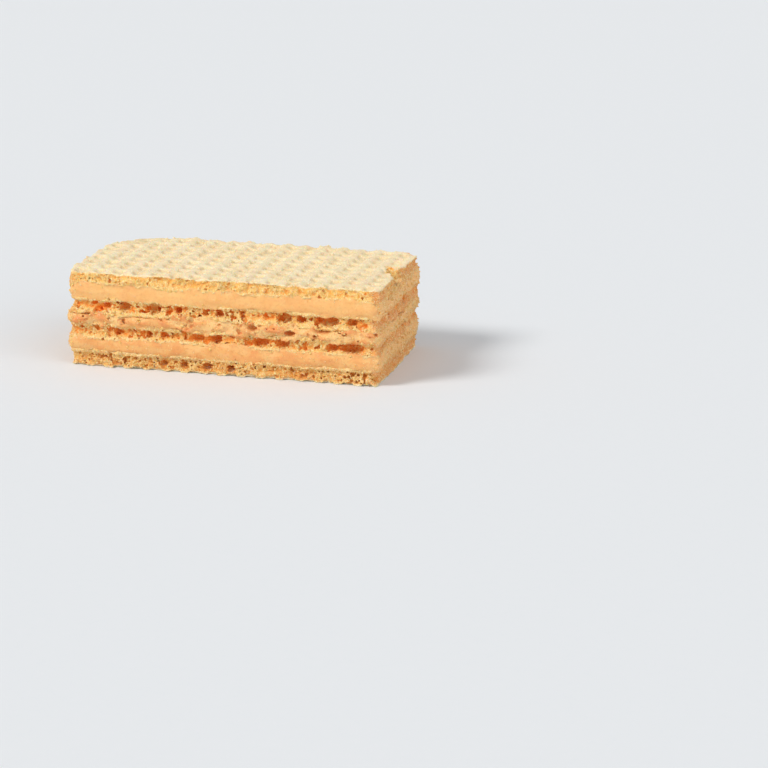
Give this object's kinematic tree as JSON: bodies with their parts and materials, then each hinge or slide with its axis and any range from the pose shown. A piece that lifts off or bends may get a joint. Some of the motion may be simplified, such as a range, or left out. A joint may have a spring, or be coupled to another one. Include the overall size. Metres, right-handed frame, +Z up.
{
  "type": "wafer cookie",
  "caption": "Oblong layered wafer cookie: crisp waffle-embossed sheets with pressed orange cream between them and an open, crumbly cut edge.",
  "frame": {"origin": "under the middle of the cookie, on the surface it stands on", "axes": "+X along the long side, +Y from the front side with the open crumb to the back, +Z up through the layers"},
  "size_m": [0.05, 0.029, 0.0151],
  "materials": {
    "wafer": "dry, pale baked wafer with a porous, crumbly cut edge",
    "cream": "smooth, waxy orange fat cream"
  },
  "bodies": {
    "root": {"wafer_1": "wafer", "cream_1": "cream", "wafer_2": "wafer", "cream_2": "cream", "wafer_3": "wafer", "cream_3": "cream", "wafer_4": "wafer"}
  },
  "joints": []
}
